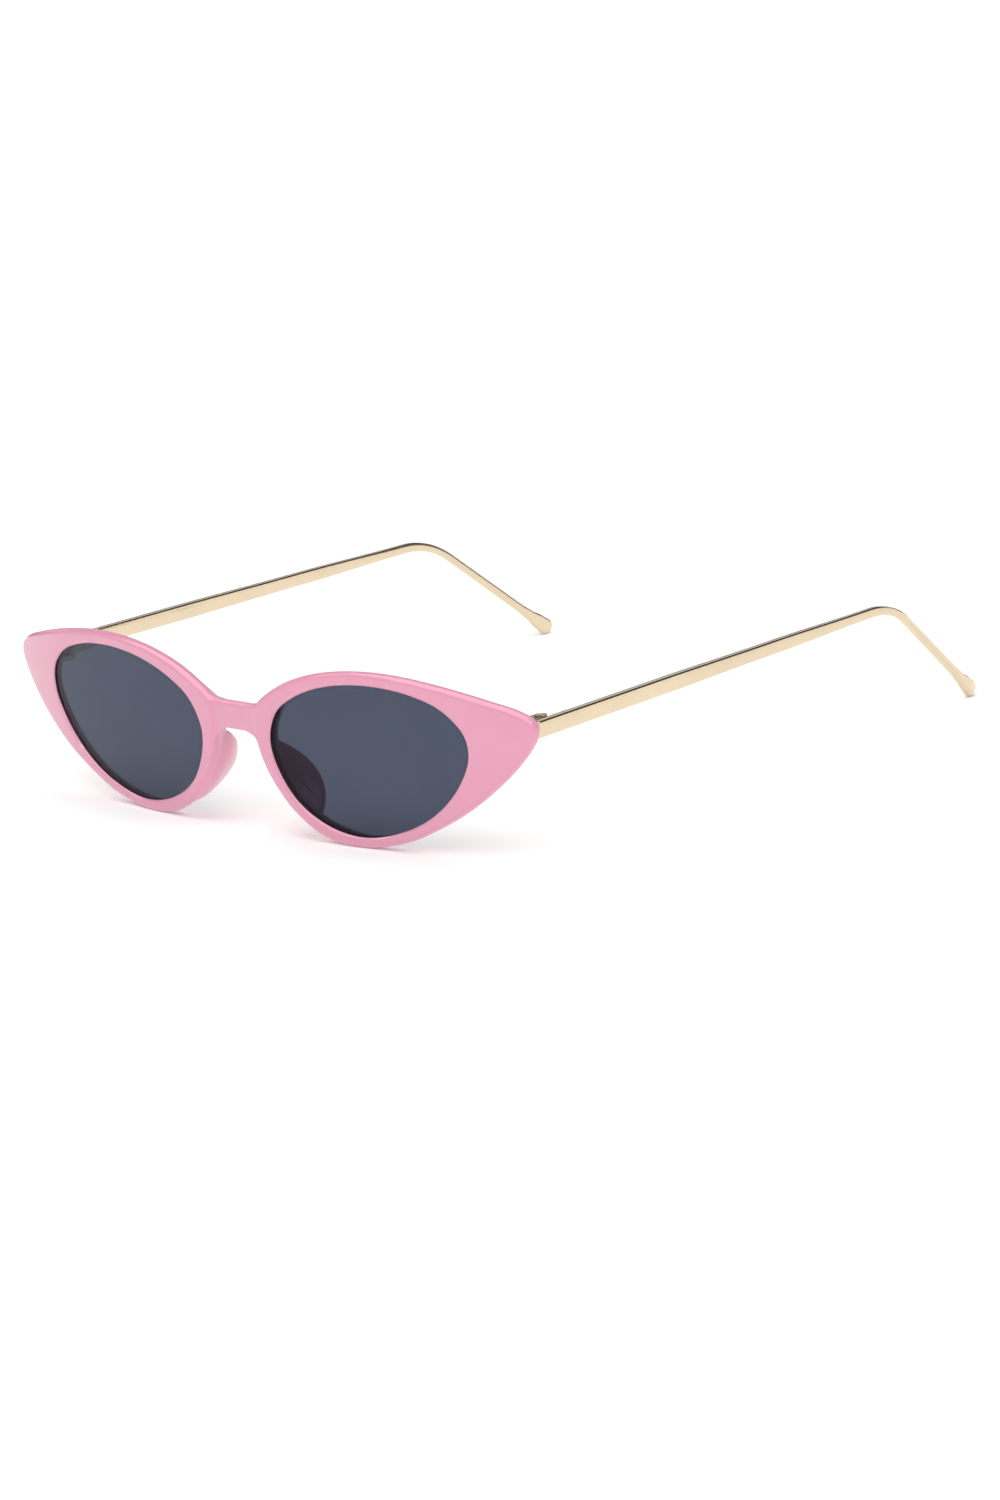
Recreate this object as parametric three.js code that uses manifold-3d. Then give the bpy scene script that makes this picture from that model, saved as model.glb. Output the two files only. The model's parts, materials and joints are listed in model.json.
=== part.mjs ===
// Cat eye sunglasses: a moulded pink front, two tinted lenses and slim gold temples on barrel hinges.
// Millimetres. X runs across the front, Y from the front face back to the temple tips, Z is up.
// The sunglasses stand open, as on a table: on the lower rims and on both temple tips, at Z = 0.
// Left and right are the wearer's, so the left side is the +X side. The two sides mirror each other.
import * as THREE from "three";
import { mergeVertices } from "three/addons/utils/BufferGeometryUtils.js";
import { TessellateModifier } from "three/addons/modifiers/TessellateModifier.js";
import Module from "manifold-3d";

const wasm = await Module();
wasm.setup();

// The front, drawn flat as seen from the front: x across, y up, z towards the viewer.
// The front edge of the lens opening lies at z = 0, a chamfer behind the face of the rim.
const RIM_FACE = 0.35;
const RIM_BACK = -2.6;
const FACE_EDGE = { thickness: 1, size: 1, offset: -1, steps: 3 };
const BACK_EDGE = { thickness: 1.8, size: 1.4, offset: -1.4, steps: 3 };
const RIM_OUTLINE = [
  [5.4, 22.6], [5.9, 26.5], [12.4, 31.3], [20, 34.3], [28, 35.9], [36, 36.4], [44, 36], [54, 34.5],
  [62, 32.6], [67.7, 30.8], [70.3, 29.1], [71, 26.8], [69.5, 23.4], [64, 17.1], [56, 10.7], [48, 6.1],
  [40, 2.7], [30, 0.9], [21.2, 1.8], [14.3, 5.6], [9.2, 11.2], [6.3, 17],
];
const OPENING_OUTLINE = [
  [9.5, 19.5], [11.8, 26], [17, 29.8], [25, 32.7], [35, 33.9], [45, 33], [52.4, 30.4], [56.7, 26],
  [57.2, 21.4], [54.2, 15.3], [48.3, 9.4], [40.6, 5.3], [30, 3.1], [20.5, 5.1], [13.2, 10.4],
];
const OUTLINE_STEPS = 60;
const BRIDGE_FACE = -0.2;
const BRIDGE_OUTLINE = [
  [0, 27], [4, 27], [8, 27.2], [10.5, 25.5], [9, 18.5], [5.9, 19.8], [3.6, 21.1], [0, 21.5],
];
const BRIDGE_STEPS = 28;

// The front bent to its curve: a wide cylinder whose ends wrap back a little more.
const FRONT_RADIUS = 278;
const FRONT_LEAN = THREE.MathUtils.degToRad(4.08); // the top leans forward
const WRAP_START = 52;
const WRAP_LENGTH = 18;
const WRAP_BACK = 1.4;
const LONGEST_EDGE = 6; // of a facet that is bent
// The front is deeper round the bridge: all of it within the first distance from the middle and above
// the second height, and none of it beyond the second distance or below the first height.
const NOSE_DEPTH = 1.2;
const NOSE_REACH = [5.5, 10];
const NOSE_HEIGHT = [6, 16];

// The nose pads, one moulded with each rim: a rounded fin along the rim's nose side.
const PAD_LINE = [[7.05, 20.4], [7.9, 16.2], [9.9, 12], [12.7, 8.4], [16.2, 5.4], [18.5, 4.4]];
const PAD_FRONT = 0.5;
const PAD_BACK = 9.4;
const PAD_TAPER = 1.4; // how slender the fin's two ends are: 1 for an ellipse
const PAD_HALF_THICKNESS = 1.5;
const PAD_LEAN = 0.19; // sideways, away from the nose, for each millimetre of depth
const PAD_AROUND = 20;
const PAD_ALONG = 16;

// The lenses: flat sheet bent with the front, their edge bevelled to a blunt V that sits in a groove.
const LENS_LAND = 0.4;
const LENS_FLANK = 0.6;
const LENS_BITE = 1.0;
const LENS_FREE = 0.15; // between the lens and the groove or opening
const LENS_SET_BACK = 0.2;
const LENS_MIDDLE = -(LENS_SET_BACK + LENS_FLANK + LENS_LAND / 2);
const GROOVE_BACK = LENS_MIDDLE - LENS_LAND / 2 - LENS_FLANK - LENS_FREE;

// The temples: one gold strip each, broad side upright, bent down behind the ear to a flared tip.
const TEMPLE_START = new THREE.Vector3(68.12, 11.2, 26.45);
const TEMPLE_BEND = new THREE.Vector3(64.4, 118.8, 26.6);
const TEMPLE_TIP = new THREE.Vector3(59.1, 148.3, 1.58);
const BEND_TANGENT = 7; // from the corner of the bend to where its curve starts and ends
// Height and thickness of the strip, at a distance from its front end and then from its tip.
const STRIP_FROM_FRONT = [[0, 3.2, 1.9], [35, 3.1, 1.9], [70, 2.6, 1.7], [98, 1.9, 1.5], [112, 1.6, 1.5]];
const STRIP_FROM_TIP = [[10, 1.7, 1.5], [7, 2.1, 1.5], [3.5, 3.1, 1.5], [1.7, 3.4, 1.5], [0, 3.4, 1.5]];
const STRIP_CORNER = 0.35; // rounding of its section, as a part of the half size
const TIP_ROUND = 1.7; // length of the rounding that ends the tip
const STATIONS = { straight: 12, bend: 9, leg: 3, flare: 9, tip: 5 }; // sections along each stretch
const TIP_END = { height: 0.24, thickness: 0.5 }; // of the tip's last section, as a part of the full size

// The hinges: two knuckles on the front, one on the temple between them, and a screw down the middle.
const HINGE_AXIS = new THREE.Vector2(65.2, 16.2);
const HINGE_BOTTOM = 24.4;
const KNUCKLE_RADIUS = 1.35;
const OUTER_KNUCKLE = 1.1;
const MIDDLE_KNUCKLE = 1.25;
const KNUCKLE_GAP = 0.1;
const HINGE_TOP = HINGE_BOTTOM + 2 * OUTER_KNUCKLE + MIDDLE_KNUCKLE + 2 * KNUCKLE_GAP;
const HINGE_MIDDLE = (HINGE_BOTTOM + HINGE_TOP) / 2;
const SCREW_RADIUS = 0.55;
const SCREW_CLEARANCE = 0.07;
const SCREW_HEAD_RADIUS = 0.95;
const SCREW_HEAD = 0.55;
const SCREW_SLOT = 0.25;
const HINGE_PLATE = { width: 5.6, thickness: 0.9, turn: THREE.MathUtils.degToRad(19) };
const HINGE_ANCHOR = { width: 2.4, depth: 1.2, height: 2.6 };
const FIT_GAP = 0.2; // between the front and the hinge fixed in it
const TEMPLE_PLATE = { thickness: 0.75, length: 5, height: 2.8 };
const HINGE_INSET = 0.6; // of the plate's middle from the hinge axis, towards the nose
const PIN_PLAY = 0.05; // between the ends of the screw and the faces of the knuckles
const SLOT_LENGTH = 3;
const ROUND_STEPS = 24;

const MATERIALS = {
  pink: new THREE.MeshStandardMaterial({ color: 0xe7a9bf, roughness: 0.3, metalness: 0 }),
  tint: new THREE.MeshStandardMaterial({ color: 0x565d6d, roughness: 0.05, metalness: 0 }),
  gold: new THREE.MeshStandardMaterial({ color: 0xe9cf9a, roughness: 0.22, metalness: 1 }),
};

// --- Joining, cutting and bending ---

function bare(geometry) {
  const copy = geometry.clone();
  copy.deleteAttribute("normal");
  copy.deleteAttribute("uv");
  return mergeVertices(copy);
}

function solidOf(geometry) {
  const closed = bare(geometry);
  return new wasm.Manifold(
    new wasm.Mesh({
      numProp: 3,
      vertProperties: new Float32Array(closed.attributes.position.array),
      triVerts: new Uint32Array(closed.index.array),
    }),
  );
}

function geometryOf(solid) {
  const mesh = solid.getMesh();
  return new THREE.BufferGeometry()
    .setAttribute("position", new THREE.BufferAttribute(mesh.vertProperties, 3))
    .setIndex(new THREE.BufferAttribute(mesh.triVerts, 1));
}

function joined(...geometries) {
  return geometryOf(geometries.map(solidOf).reduce((whole, piece) => whole.add(piece)));
}

function cut(geometry, ...cutters) {
  const tools = cutters.map(solidOf);
  return geometryOf(tools.reduce((whole, tool) => whole.subtract(tool), solidOf(geometry)));
}

function mirrored(geometry) {
  const copy = geometry.clone().scale(-1, 1, 1);
  const corners = copy.index.array;
  for (let i = 0; i < corners.length; i += 3) {
    [corners[i], corners[i + 1]] = [corners[i + 1], corners[i]];
  }
  return copy;
}

// Moves every vertex of a geometry to place(vertex).
function warped(geometry, place) {
  const copy = bare(geometry);
  const positions = copy.attributes.position;
  const vertex = new THREE.Vector3();
  for (let i = 0; i < positions.count; i++) {
    vertex.fromBufferAttribute(positions, i);
    positions.setXYZ(i, ...place(vertex).toArray());
  }
  return copy;
}

// --- The flat drawing of the front and its bend ---

function smoothOutline(corners, steps) {
  const points = corners.map(([x, y]) => new THREE.Vector3(x, y, 0));
  const curve = new THREE.CatmullRomCurve3(points, true, "centripetal");
  return curve.getSpacedPoints(steps).slice(0, steps).map((p) => new THREE.Vector2(p.x, p.y));
}

// A plate with the outline, its middle layer from low to high, and its edges tapered by steps.
function plate(outline, low, high, edge) {
  const { thickness, size, offset, steps } = edge;
  return new THREE.ExtrudeGeometry(new THREE.Shape(outline), {
    depth: high - low,
    bevelThickness: thickness,
    bevelSize: size,
    bevelOffset: offset,
    bevelSegments: steps,
  }).translate(0, 0, low);
}

// A plate with a small rounding round its face and a wider one round its back.
function roundedPlate(outline, back, face) {
  const beyond = 10;
  const faceSide = plate(outline, back - beyond, face - FACE_EDGE.thickness, FACE_EDGE);
  const backSide = plate(outline, back + BACK_EDGE.thickness, face + beyond, BACK_EDGE);
  return geometryOf(solidOf(faceSide).intersect(solidOf(backSide)));
}

// How far back a point of the flat drawing moves because the front is deeper round the bridge.
function noseDepth({ x, y, z }) {
  const beside = 1 - THREE.MathUtils.smoothstep(Math.abs(x), ...NOSE_REACH);
  const above = THREE.MathUtils.smoothstep(y, ...NOSE_HEIGHT);
  const behind = THREE.MathUtils.clamp((GROOVE_BACK - z) / (GROOVE_BACK - RIM_BACK), 0, 1);
  return NOSE_DEPTH * beside * above * behind;
}

function bendFront(geometry) {
  const fine = new TessellateModifier(LONGEST_EDGE, 8).modify(geometry.toNonIndexed());
  return warped(fine, (p) => {
    const z = p.z - noseDepth(p);
    const wrap = Math.max(0, Math.abs(p.x) - WRAP_START) / WRAP_LENGTH;
    const back = (p.x * p.x) / (2 * FRONT_RADIUS) + WRAP_BACK * wrap * wrap;
    return new THREE.Vector3(
      p.x,
      back - p.y * Math.sin(FRONT_LEAN) - z * Math.cos(FRONT_LEAN),
      p.y * Math.cos(FRONT_LEAN) - z * Math.sin(FRONT_LEAN),
    );
  });
}

// --- The front frame ---

const opening = smoothOutline(OPENING_OUTLINE, OUTLINE_STEPS);

// A fin: a sphere whose poles are its two ends, laid along the rim's nose side with one flank in the rim.
function nosePad() {
  const points = PAD_LINE.map(([x, y]) => new THREE.Vector3(x, y, 0));
  const line = new THREE.CatmullRomCurve3(points);
  const reach = (PAD_BACK - PAD_FRONT) / 2;
  return warped(new THREE.SphereGeometry(1, PAD_AROUND, PAD_ALONG), (p) => {
    const along = THREE.MathUtils.clamp((1 - p.y) / 2, 0, 1);
    const at = line.getPointAt(along);
    const tangent = line.getTangentAt(along);
    const girth = Math.hypot(p.x, p.z);
    const depth = PAD_FRONT + reach * (girth + p.x) * girth ** (PAD_TAPER - 1);
    const aside = PAD_HALF_THICKNESS * Math.sign(p.z) * Math.abs(p.z) ** 0.7;
    const shift = aside + PAD_LEAN * Math.max(0, depth + RIM_BACK);
    return new THREE.Vector3(at.x - tangent.y * shift, at.y + tangent.x * shift, -depth);
  });
}

// What the lens opening, the chamfer round its front and the groove for the lens take away.
function openingCutters() {
  const straight = { thickness: 0.1, size: 0, offset: 0, steps: 1 };
  const chamfer = { thickness: RIM_FACE, size: RIM_FACE, offset: 0, steps: 1 };
  const groove = { thickness: LENS_FLANK + LENS_FREE, size: LENS_BITE, offset: 0, steps: 1 };
  const land = LENS_LAND / 2;
  return [
    plate(opening, RIM_BACK, RIM_FACE, straight),
    plate(opening, RIM_FACE, RIM_FACE + 1, chamfer),
    plate(opening, LENS_MIDDLE - land, LENS_MIDDLE + land, groove),
  ];
}

function bridge() {
  const half = BRIDGE_OUTLINE;
  const other = half.slice(1, -1).map(([x, y]) => [-x, y]).reverse();
  const outline = smoothOutline([...half, ...other], BRIDGE_STEPS);
  return roundedPlate(outline, RIM_BACK, BRIDGE_FACE);
}

function frontFrame() {
  const rim = roundedPlate(smoothOutline(RIM_OUTLINE, OUTLINE_STEPS), RIM_BACK, RIM_FACE);
  const side = joined(rim, nosePad());
  const cutters = openingCutters();
  const whole = joined(side, mirrored(side), bridge());
  const flat = cut(whole, ...cutters, ...cutters.map((tool) => mirrored(bare(tool))));
  const pocket = hingeAnchor(FIT_GAP);
  return cut(bendFront(flat), pocket, mirrored(bare(pocket)));
}

function lens() {
  const edge = { thickness: LENS_FLANK, size: LENS_BITE, offset: -LENS_FREE, steps: 1 };
  const land = LENS_LAND / 2;
  return bendFront(bare(plate(opening, LENS_MIDDLE - land, LENS_MIDDLE + land, edge)));
}

// --- The hinges ---

function block(width, length, height, x, y, z) {
  return new THREE.BoxGeometry(width, length, height).translate(x, y, z);
}

function knuckle(radius, bottom, top) {
  return new THREE.CylinderGeometry(radius, radius, top - bottom, ROUND_STEPS)
    .rotateX(Math.PI / 2)
    .translate(HINGE_AXIS.x, HINGE_AXIS.y, (bottom + top) / 2);
}

// The back of the front, behind the hinge axis, at the height of the hinge.
function frontBack() {
  const wrap = (HINGE_AXIS.x - WRAP_START) / WRAP_LENGTH;
  const bent = HINGE_AXIS.x ** 2 / (2 * FRONT_RADIUS) + WRAP_BACK * wrap * wrap;
  return bent - (RIM_BACK + HINGE_MIDDLE * Math.sin(FRONT_LEAN)) / Math.cos(FRONT_LEAN);
}

// The stud sunk into the front, or with a gap, the pocket that it sits in.
function hingeAnchor(gap) {
  const { width, depth, height } = HINGE_ANCHOR;
  const [low, high] = [-depth - gap, HINGE_PLATE.thickness / 2];
  return block(width + 2 * gap, high - low, height + 2 * gap, 0, (low + high) / 2, 0)
    .rotateZ(HINGE_PLATE.turn)
    .translate(HINGE_AXIS.x - HINGE_INSET, frontBack() + FIT_GAP, HINGE_MIDDLE);
}

function frontHinge() {
  const { width, thickness, turn } = HINGE_PLATE;
  const base = block(width, thickness, HINGE_TOP - HINGE_BOTTOM, 0, thickness / 2, 0)
    .rotateZ(turn)
    .translate(HINGE_AXIS.x - HINGE_INSET, frontBack() + FIT_GAP, HINGE_MIDDLE);
  const webLength = HINGE_AXIS.y - frontBack() - FIT_GAP - thickness / 2;
  const knuckles = [HINGE_BOTTOM, HINGE_TOP - OUTER_KNUCKLE].flatMap((bottom) => [
    knuckle(KNUCKLE_RADIUS, bottom, bottom + OUTER_KNUCKLE),
    block(
      2 * KNUCKLE_RADIUS, webLength, OUTER_KNUCKLE,
      HINGE_AXIS.x, HINGE_AXIS.y - webLength / 2, bottom + OUTER_KNUCKLE / 2,
    ),
  ]);
  const middle = HINGE_BOTTOM + OUTER_KNUCKLE;
  return cut(
    joined(base, hingeAnchor(0), ...knuckles),
    knuckle(KNUCKLE_RADIUS + FIT_GAP, middle, middle + MIDDLE_KNUCKLE + 2 * KNUCKLE_GAP),
    knuckle(SCREW_RADIUS + SCREW_CLEARANCE, HINGE_BOTTOM - 1, HINGE_TOP + 1),
    knuckle(SCREW_HEAD_RADIUS + SCREW_CLEARANCE, HINGE_TOP - SCREW_HEAD, HINGE_TOP + 1),
  );
}

function templeHinge() {
  const bottom = HINGE_BOTTOM + OUTER_KNUCKLE + KNUCKLE_GAP;
  const { thickness, length, height } = TEMPLE_PLATE;
  const start = HINGE_AXIS.y + KNUCKLE_RADIUS + FIT_GAP;
  const splay = Math.atan2(TEMPLE_START.x - TEMPLE_BEND.x, TEMPLE_BEND.y - TEMPLE_START.y);
  const middle = TEMPLE_START.x - (start - TEMPLE_START.y) * Math.tan(splay);
  const inner = middle - STRIP_FROM_FRONT[0][2] / 2 - FIT_GAP;
  const arm = inner - HINGE_AXIS.x;
  return cut(
    joined(
      knuckle(KNUCKLE_RADIUS, bottom, bottom + MIDDLE_KNUCKLE),
      block(arm, start - HINGE_AXIS.y + 1, MIDDLE_KNUCKLE,
        HINGE_AXIS.x + arm / 2, (start + HINGE_AXIS.y + 1) / 2, bottom + MIDDLE_KNUCKLE / 2),
      block(thickness, length, height, -thickness / 2, length / 2, 0)
        .rotateZ(splay)
        .translate(inner, start, HINGE_MIDDLE),
    ),
    knuckle(SCREW_RADIUS + SCREW_CLEARANCE, HINGE_BOTTOM - 1, HINGE_TOP + 1),
  );
}

function hingeScrew() {
  const profile = [
    [0, HINGE_BOTTOM + PIN_PLAY], [SCREW_RADIUS, HINGE_BOTTOM + PIN_PLAY],
    [SCREW_RADIUS, HINGE_TOP - SCREW_HEAD + PIN_PLAY],
    [SCREW_HEAD_RADIUS, HINGE_TOP - SCREW_HEAD + PIN_PLAY],
    [SCREW_HEAD_RADIUS, HINGE_TOP - PIN_PLAY], [0, HINGE_TOP - PIN_PLAY],
  ].map(([radius, height]) => new THREE.Vector2(radius, height));
  const turned = new THREE.LatheGeometry(profile, ROUND_STEPS)
    .rotateX(Math.PI / 2)
    .translate(HINGE_AXIS.x, HINGE_AXIS.y, 0);
  const slot = block(SLOT_LENGTH, SCREW_SLOT, 2 * SCREW_SLOT, HINGE_AXIS.x, HINGE_AXIS.y, HINGE_TOP);
  return cut(turned, slot);
}

// --- The temples ---

function templePath() {
  const into = TEMPLE_BEND.clone().sub(TEMPLE_START).setLength(BEND_TANGENT);
  const out = TEMPLE_TIP.clone().sub(TEMPLE_BEND).setLength(BEND_TANGENT);
  const bendStart = TEMPLE_BEND.clone().sub(into);
  const bendEnd = TEMPLE_BEND.clone().add(out);
  const path = new THREE.CurvePath();
  path.add(new THREE.LineCurve3(TEMPLE_START, bendStart));
  path.add(new THREE.QuadraticBezierCurve3(bendStart, TEMPLE_BEND, bendEnd));
  path.add(new THREE.LineCurve3(bendEnd, TEMPLE_TIP));
  return path;
}

// Where the sections stand: close together round the bend and at the tip, wide apart elsewhere.
function templeStations(path) {
  const [straight, bent, total] = path.getCurveLengths();
  const spread = (from, to, count) =>
    Array.from({ length: count }, (_, i) => from + ((to - from) * i) / count);
  const flare = total - STRIP_FROM_TIP[0][0];
  return [
    ...spread(0, straight, STATIONS.straight),
    ...spread(straight, bent, STATIONS.bend),
    ...spread(bent, flare, STATIONS.leg),
    ...spread(flare, total - TIP_ROUND, STATIONS.flare),
    ...spread(0, Math.PI / 2, STATIONS.tip).map((turn) => total - TIP_ROUND * (1 - Math.sin(turn))),
    total,
  ];
}

function stripSize(distance, total) {
  const fromTip = STRIP_FROM_TIP.map(([back, ...size]) => [total - back, ...size]);
  const stations = [...STRIP_FROM_FRONT, ...fromTip];
  const next = Math.max(1, stations.findIndex(([at]) => at >= distance));
  const [from, to] = [stations[next - 1], stations[next]];
  const part = THREE.MathUtils.smoothstep(distance, from[0], to[0]);
  const height = THREE.MathUtils.lerp(from[1], to[1], part);
  const thickness = THREE.MathUtils.lerp(from[2], to[2], part);
  const beyond = THREE.MathUtils.clamp((distance - (total - TIP_ROUND)) / TIP_ROUND, 0, 1);
  const closing = Math.sqrt(1 - beyond * beyond);
  return {
    height: height * THREE.MathUtils.lerp(TIP_END.height, 1, closing),
    thickness: thickness * THREE.MathUtils.lerp(TIP_END.thickness, 1, closing),
  };
}

function stripSection() {
  const corner = STRIP_CORNER;
  const section = new THREE.Shape();
  section.moveTo(1, -1 + corner);
  section.lineTo(1, 1 - corner);
  section.absarc(1 - corner, 1 - corner, corner, 0, Math.PI / 2);
  section.absarc(-1 + corner, 1 - corner, corner, Math.PI / 2, Math.PI);
  section.absarc(-1 + corner, -1 + corner, corner, Math.PI, 1.5 * Math.PI);
  section.absarc(1 - corner, -1 + corner, corner, 1.5 * Math.PI, 2 * Math.PI);
  return section;
}

function temple() {
  const path = templePath();
  const stations = templeStations(path);
  const total = path.getLength();
  const steps = stations.length - 1;
  const straight = new THREE.ExtrudeGeometry(stripSection(), {
    depth: steps, steps, curveSegments: 2, bevelEnabled: false,
  });
  const up = new THREE.Vector3(0, 0, 1);
  return warped(straight, (p) => {
    const distance = stations[Math.round(p.z)];
    const { height, thickness } = stripSize(distance, total);
    const tangent = path.getTangentAt(distance / total);
    const side = new THREE.Vector3().crossVectors(up, tangent).normalize();
    const rise = new THREE.Vector3().crossVectors(tangent, side);
    return path.getPointAt(distance / total)
      .addScaledVector(side, (p.x * thickness) / 2)
      .addScaledVector(rise, (p.y * height) / 2);
  });
}

// --- The assembly ---

function mesh(name, geometry, material) {
  const made = new THREE.Mesh(geometry, material);
  made.name = name;
  return made;
}

const sunglasses = new THREE.Group();
sunglasses.add(mesh("front_frame", frontFrame(), MATERIALS.pink));
for (const [side, direction] of [["left", 1], ["right", -1]]) {
  const half = new THREE.Group();
  half.scale.x = direction;
  half.add(mesh("lens_" + side, lens(), MATERIALS.tint));
  half.add(mesh("front_hinge_" + side, frontHinge(), MATERIALS.gold));
  half.add(mesh("temple_hinge_" + side, templeHinge(), MATERIALS.gold));
  half.add(mesh("hinge_screw_" + side, hingeScrew(), MATERIALS.gold));
  half.add(mesh("temple_" + side, temple(), MATERIALS.gold));
  sunglasses.add(half);
}
// The origin: under the middle of the whole, on what the sunglasses stand on.
const extent = new THREE.Box3().setFromObject(sunglasses, true);
sunglasses.position.set(0, -(extent.min.y + extent.max.y) / 2, -extent.min.z);

export default sunglasses;
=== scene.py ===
"""Cat eye sunglasses: the fine surfaces and the finish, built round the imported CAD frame.

Metres in the scene, with X across the front, Y from the front back to the temple tips and Z up.
Each fine piece is first drawn in millimetres and then fitted to the box of the CAD node it stands for.
Left and right are the wearer's, so the left side is the +X side.
"""

import json
import math

import bmesh
import bpy
import numpy as np
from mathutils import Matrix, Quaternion, Vector

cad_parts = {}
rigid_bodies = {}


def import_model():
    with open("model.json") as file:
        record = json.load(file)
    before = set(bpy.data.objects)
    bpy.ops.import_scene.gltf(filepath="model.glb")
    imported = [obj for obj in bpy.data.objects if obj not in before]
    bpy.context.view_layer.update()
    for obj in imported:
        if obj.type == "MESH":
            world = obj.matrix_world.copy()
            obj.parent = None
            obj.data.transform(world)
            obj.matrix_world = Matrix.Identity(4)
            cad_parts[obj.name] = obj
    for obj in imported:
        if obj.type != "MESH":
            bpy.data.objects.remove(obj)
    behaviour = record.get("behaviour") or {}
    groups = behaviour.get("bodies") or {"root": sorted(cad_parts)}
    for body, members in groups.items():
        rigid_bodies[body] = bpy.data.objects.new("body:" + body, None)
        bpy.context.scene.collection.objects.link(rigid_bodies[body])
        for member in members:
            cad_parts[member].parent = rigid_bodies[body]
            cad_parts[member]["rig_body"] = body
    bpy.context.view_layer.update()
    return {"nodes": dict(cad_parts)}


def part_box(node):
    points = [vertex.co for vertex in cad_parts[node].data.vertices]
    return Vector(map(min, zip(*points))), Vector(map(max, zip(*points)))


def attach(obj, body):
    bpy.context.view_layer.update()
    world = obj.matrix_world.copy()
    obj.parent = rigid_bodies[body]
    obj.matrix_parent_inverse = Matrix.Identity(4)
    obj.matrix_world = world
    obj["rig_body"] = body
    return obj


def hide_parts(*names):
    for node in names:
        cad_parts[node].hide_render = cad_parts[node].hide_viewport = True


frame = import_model()
NODES = frame["nodes"]
SIDES = {"left": 1, "right": -1}

# --- Sizes, in millimetres and degrees ---

# The front, drawn flat as seen from the front: x across, y up, z towards the viewer.
RIM_FACE = 0.35
RIM_BACK = -2.6
FACE_ROUNDING = {"depth": 1.0, "inset": 1.0}
BACK_ROUNDING = {"depth": 1.8, "inset": 1.4}
RIM_OUTLINE = [
    (5.4, 22.6), (5.9, 26.5), (12.4, 31.3), (20, 34.3), (28, 35.9), (36, 36.4), (44, 36), (54, 34.5),
    (62, 32.6), (67.7, 30.8), (70.3, 29.1), (71, 26.8), (69.5, 23.4), (64, 17.1), (56, 10.7), (48, 6.1),
    (40, 2.7), (30, 0.9), (21.2, 1.8), (14.3, 5.6), (9.2, 11.2), (6.3, 17),
]
OPENING_OUTLINE = [
    (9.5, 19.5), (11.8, 26), (17, 29.8), (25, 32.7), (35, 33.9), (45, 33), (52.4, 30.4), (56.7, 26),
    (57.2, 21.4), (54.2, 15.3), (48.3, 9.4), (40.6, 5.3), (30, 3.1), (20.5, 5.1), (13.2, 10.4),
]
BRIDGE_FACE = -0.2
BRIDGE_HALF = [
    (0, 27), (4, 27), (8, 27.2), (10.5, 25.5), (9, 18.5), (5.9, 19.8), (3.6, 21.1), (0, 21.5),
]
FRONT_RADIUS = 278
FRONT_LEAN = 4.08
WRAP_START, WRAP_LENGTH, WRAP_BACK = 52, 18, 1.4
# The front is deeper round the bridge: within this reach of the middle, and above this height.
NOSE_DEPTH = 1.2
NOSE_REACH = (5.5, 10)
NOSE_HEIGHT = (6, 16)

# The nose pads: a rounded fin behind the nose side of each rim.
PAD_LINE = [(7.05, 20.4), (7.9, 16.2), (9.9, 12), (12.7, 8.4), (16.2, 5.4), (18.5, 4.4)]
PAD_FRONT, PAD_BACK = 0.5, 9.4
PAD_TAPER = 1.4
PAD_HALF_THICKNESS = 1.5
PAD_LEAN = 0.19
# Below 1 the fin's section is squarer than an ellipse.
PAD_SQUARENESS = 0.7

# The fillets where the bridge's ends and the pads' roots meet the rims.
BRIDGE_FILLET_MIDDLE = (7.6, 23.5)
BRIDGE_FILLET_SPREAD = (2.6, 5.5)
PAD_FILLET_DEPTH = 1.3
PAD_FILLET_REACH = 21
PAD_FILLET_WEIGHT = 0.8

# The lenses and the groove that holds them.
LENS_LAND, LENS_FLANK, LENS_BITE = 0.4, 0.6, 1.0
LENS_FREE = 0.15
LENS_MIDDLE = -1.0
LENS_ARRIS = 0.06
# A point that eases the start of the opening's chamfer: its height and inset, as shares of the chamfer's.
CHAMFER_EASE = (0.45, 0.25)
# How far the cutter for the opening runs past both faces of the front.
CUTTER_BEYOND = 2

# The temples, each one strip along two straights and a bend.
TEMPLE_START = Vector((68.12, 11.2, 26.45))
TEMPLE_BEND = Vector((64.4, 118.8, 26.6))
TEMPLE_TIP = Vector((59.1, 148.3, 1.58))
BEND_TANGENT = 7
# Height and thickness of the strip, at a distance from its front end and then from its tip.
STRIP_FROM_FRONT = [(0, 3.2, 1.9), (35, 3.1, 1.9), (70, 2.6, 1.7), (98, 1.9, 1.5), (112, 1.6, 1.5)]
STRIP_FROM_TIP = [(10, 1.7, 1.5), (7, 2.1, 1.5), (3.5, 3.1, 1.5), (1.7, 3.4, 1.5), (0, 3.4, 1.5)]
STRIP_BULGE = 0.05
# Rounding of the strip's long edges on the straight and on the leg, and where one turns into the other.
STRIP_ROUNDINGS = (0.3, 0.45)
STRIP_ROUNDS = (90, 120)
# The rounding and the bulge take up no more than these shares of half a side of the section.
MOST_ROUNDING, MOST_BULGE = 0.7, 0.15
# The front end is smaller by this share, over this length.
START_EASE, START_EASE_LENGTH = 0.25, 0.25
TIP_ROUND = 1.7
TIP_END_HEIGHT, TIP_END_THICKNESS = 0.1, 0.4

# How finely the surfaces are drawn.
CURVE_STEPS = 48
OUTLINE_STEPS = 420
ROUNDING_STEPS = 10
PAD_AROUND, PAD_ALONG = 48, 72
PAD_POLE = 0.02
PAD_TANGENT_REACH = 0.01
LENS_RINGS = 22
LENS_CORE = 0.03
BEND_STEPS, STRAIGHT_STEPS = 200, 400
STRIP_STEPS = 260
STRIP_TANGENT_REACH = 0.002
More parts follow.
